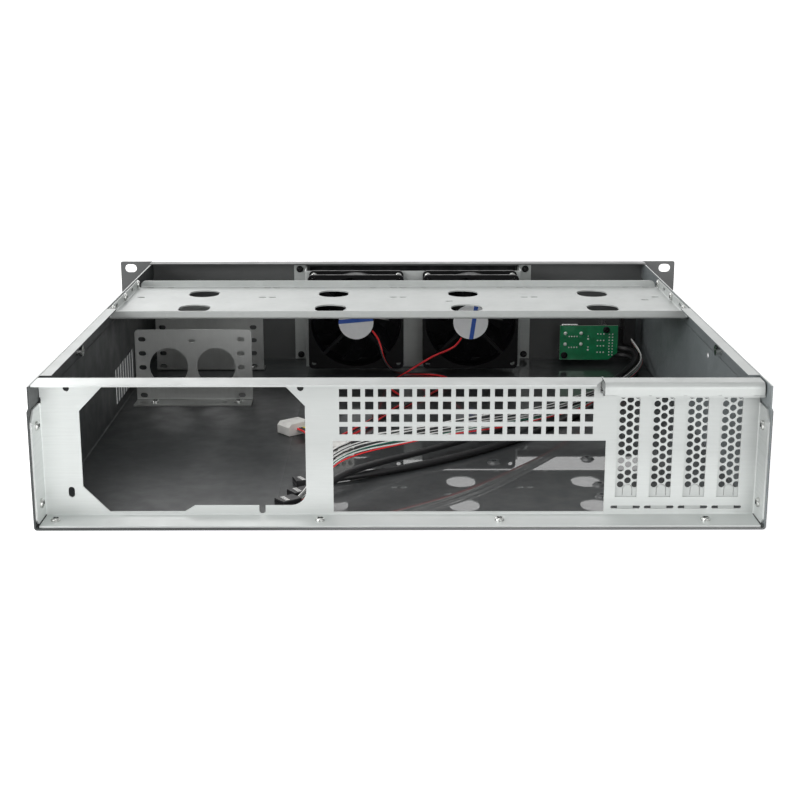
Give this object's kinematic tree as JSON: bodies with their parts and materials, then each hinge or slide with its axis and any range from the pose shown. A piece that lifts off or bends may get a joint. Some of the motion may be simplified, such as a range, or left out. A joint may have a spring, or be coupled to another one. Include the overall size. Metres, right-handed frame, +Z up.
{
  "type": "empty rackmount server case",
  "caption": "Open 2U rack-mount server case: sheet-metal tray with rack ears, rear panel, drive tray, twin fans, front I/O board and loose internal leads.",
  "frame": {"origin": "underside of the floor, centre of the case's outer box", "axes": "+X across the case, to the right seen from the front; +Y from the front panel to the rear; +Z up"},
  "size_m": [0.4826, 0.45, 0.088],
  "materials": {
    "chassis_paint": "semi-gloss dark grey paint",
    "panel_paint": "satin dark grey paint",
    "galvanised": "galvanised sheet, satin",
    "plate_steel": "plain sheet steel, satin",
    "fan_plastic": "black, glossy",
    "fan_label": "printed label film",
    "board_green": "green solder mask",
    "socket_steel": "nickel plated",
    "led_green": "clear green",
    "led_red": "clear red",
    "black_plastic": "black moulded",
    "white_plastic": "natural white nylon",
    "zinc_screws": "bright zinc plated",
    "black_screws": "black oxide",
    "cable_black": "black PVC sheath",
    "filter_foam": "open-cell black foam, matte",
    "ribbon_wires": "flat run of coloured PVC wires",
    "wire_red": "red PVC wires"
  },
  "bodies": {
    "chassis": {"chassis_tray": "chassis_paint", "front_panel": "panel_paint", "rear_panel": "galvanised", "slot_cover_1": "galvanised", "slot_cover_2": "galvanised", "slot_cover_3": "galvanised", "slot_cover_4": "galvanised", "slot_clamp_bar": "galvanised", "drive_tray": "galvanised", "fan_bracket": "galvanised", "drive_plate_rear": "plate_steel", "drive_plate_front": "plate_steel", "fan_frame_1": "fan_plastic", "fan_frame_2": "fan_plastic", "fan_label_1": "fan_label", "fan_label_2": "fan_label", "front_io_board": "board_green", "usb_socket_upper": "socket_steel", "usb_socket_lower": "socket_steel", "board_spacers": "socket_steel", "led_power": "led_green", "led_drive": "led_red", "power_switch": "black_plastic", "reset_switch": "black_plastic", "usb_plug_1": "black_plastic", "usb_plug_2": "black_plastic", "panel_plug": "black_plastic", "board_plug_1": "black_plastic", "board_plug_2": "black_plastic", "switch_plug": "black_plastic", "power_plug_1": "white_plastic", "power_plug_2": "white_plastic", "rear_panel_screws": "zinc_screws", "drive_tray_screws": "zinc_screws", "drive_plate_screws": "zinc_screws", "fan_screws": "zinc_screws", "lid_inserts": "zinc_screws", "fan_bracket_screws": "black_screws", "board_screws": "black_screws", "usb_cable_1": "cable_black", "usb_cable_2": "cable_black", "dust_filter": "filter_foam", "panel_harness": "ribbon_wires", "fan_lead_1": "wire_red", "fan_lead_2": "wire_red", "power_link": "wire_red"},
    "fan_rotor_1": {"fan_rotor_1": "fan_plastic"},
    "fan_rotor_2": {"fan_rotor_2": "fan_plastic"},
    "power_button": {"power_button": "black_plastic"},
    "reset_button": {"reset_button": "black_plastic"}
  },
  "joints": [
    {"name": "fan_1_spin", "type": "hinge", "parent": "chassis", "child": "fan_rotor_1", "pos_m": [0.0354, -0.179, 0.0455], "axis": [0, 1, 0], "continuous": true},
    {"name": "fan_2_spin", "type": "hinge", "parent": "chassis", "child": "fan_rotor_2", "pos_m": [-0.061, -0.179, 0.0455], "axis": [0, 1, 0], "continuous": true},
    {"name": "power_button_press", "type": "slide", "parent": "chassis", "child": "power_button", "axis": [0, 1, 0], "range_m": [0, 0.0015], "stiffness_N_per_m": 600, "springref_m": -0.0005},
    {"name": "reset_button_press", "type": "slide", "parent": "chassis", "child": "reset_button", "axis": [0, 1, 0], "range_m": [0, 0.0015], "stiffness_N_per_m": 600, "springref_m": -0.0005}
  ]
}
